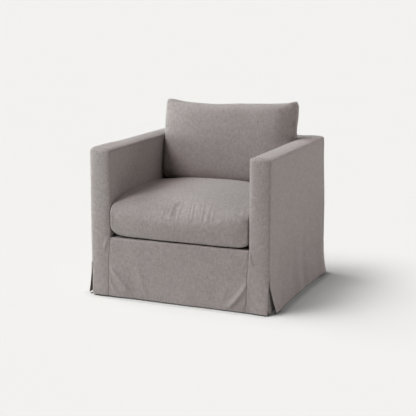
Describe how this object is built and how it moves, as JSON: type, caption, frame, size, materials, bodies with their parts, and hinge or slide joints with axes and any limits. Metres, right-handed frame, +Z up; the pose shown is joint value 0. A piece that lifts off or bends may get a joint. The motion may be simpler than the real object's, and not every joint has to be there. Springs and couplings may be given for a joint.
{
  "type": "upholstered armchair",
  "caption": "Low square-armed lounge chair in a loose floor-length cover, with arms and back at one height, a thick loose seat cushion and a loose knife-edge back cushion.",
  "frame": {"origin": "on the floor under the middle of the chair", "axes": "+Z up, -Y towards the front of the chair, +X towards the sitter's left arm"},
  "size_m": [0.91, 0.836, 0.853],
  "materials": {
    "frame_wood": "planed, unfinished",
    "block_wood": "sawn, unfinished",
    "zinc_steel": "bright zinc",
    "spring_steel": "black oiled wire and stamped clips",
    "paper_wrapped_wire": "paper-wrapped wire",
    "jute_webbing": "woven jute",
    "fibreboard": "hardboard",
    "black_cambric": "thin non-woven cloth",
    "felt_pad": "mottled felt",
    "foam": "open-cell foam",
    "white_wadding": "bonded polyester wadding",
    "warm_grey_linen": "plain linen-look weave, slightly slubby, matte",
    "zip_tape": "woven tape with coil teeth",
    "slider_metal": "satin grey",
    "stained_wood": "dark stain, satin",
    "glide_plastic": "matte"
  },
  "bodies": {
    "chair": {"front_rail": "frame_wood", "back_rail": "frame_wood", "left_side_rail": "frame_wood", "right_side_rail": "frame_wood", "left_front_post": "frame_wood", "right_front_post": "frame_wood", "left_back_post": "frame_wood", "right_back_post": "frame_wood", "left_arm_top_rail": "frame_wood", "right_arm_top_rail": "frame_wood", "back_top_rail": "frame_wood", "back_tack_rail": "frame_wood", "back_centre_stile": "frame_wood", "corner_blocks": "block_wood", "frame_screws": "zinc_steel", "seat_springs": "spring_steel", "spring_clips": "spring_steel", "spring_tie_wires": "paper_wrapped_wire", "back_webbing": "jute_webbing", "left_arm_inner_board": "fibreboard", "right_arm_inner_board": "fibreboard", "left_arm_outer_board": "fibreboard", "right_arm_outer_board": "fibreboard", "back_outer_board": "fibreboard", "dust_cover": "black_cambric", "deck_insulator": "felt_pad", "deck_foam": "foam", "front_rail_foam": "foam", "left_arm_foam": "foam", "right_arm_foam": "foam", "back_foam": "foam", "left_arm_wadding": "white_wadding", "right_arm_wadding": "white_wadding", "back_wadding": "white_wadding", "cover_left_inside_arm": "warm_grey_linen", "cover_right_inside_arm": "warm_grey_linen", "cover_left_arm_boxing": "warm_grey_linen", "cover_right_arm_boxing": "warm_grey_linen", "cover_left_outside_arm": "warm_grey_linen", "cover_right_outside_arm": "warm_grey_linen", "cover_front_panel": "warm_grey_linen", "cover_deck": "warm_grey_linen", "cover_inside_back": "warm_grey_linen", "cover_back_boxing": "warm_grey_linen", "cover_outside_back": "warm_grey_linen", "cover_corner_underlays": "warm_grey_linen", "feet": "stained_wood", "foot_glides": "glide_plastic", "foot_bolts": "zinc_steel", "foot_tee_nuts": "zinc_steel"},
    "seat_cushion": {"seat_cushion_cover": "warm_grey_linen", "seat_cushion_wrap": "white_wadding", "seat_cushion_core": "foam", "seat_cushion_zip": "zip_tape"},
    "seat_zip_slider": {"seat_zip_slider": "slider_metal"},
    "back_cushion": {"back_cushion_cover": "warm_grey_linen", "back_cushion_fill": "white_wadding", "back_cushion_zip": "zip_tape"},
    "back_zip_slider": {"back_zip_slider": "slider_metal"}
  },
  "joints": [
    {"name": "seat_cushion_lift", "type": "slide", "parent": "chair", "child": "seat_cushion", "axis": [0, 0, 1], "range_m": [0, 0.42]},
    {"name": "back_cushion_lift", "type": "slide", "parent": "seat_cushion", "child": "back_cushion", "axis": [0, 0, 1], "range_m": [0, 0.3]},
    {"name": "seat_zip_slide", "type": "slide", "parent": "seat_cushion", "child": "seat_zip_slider", "axis": [-1, 0, 0], "range_m": [0, 0.52]},
    {"name": "back_zip_slide", "type": "slide", "parent": "back_cushion", "child": "back_zip_slider", "axis": [-1, 0, 0], "range_m": [0, 0.52]}
  ]
}
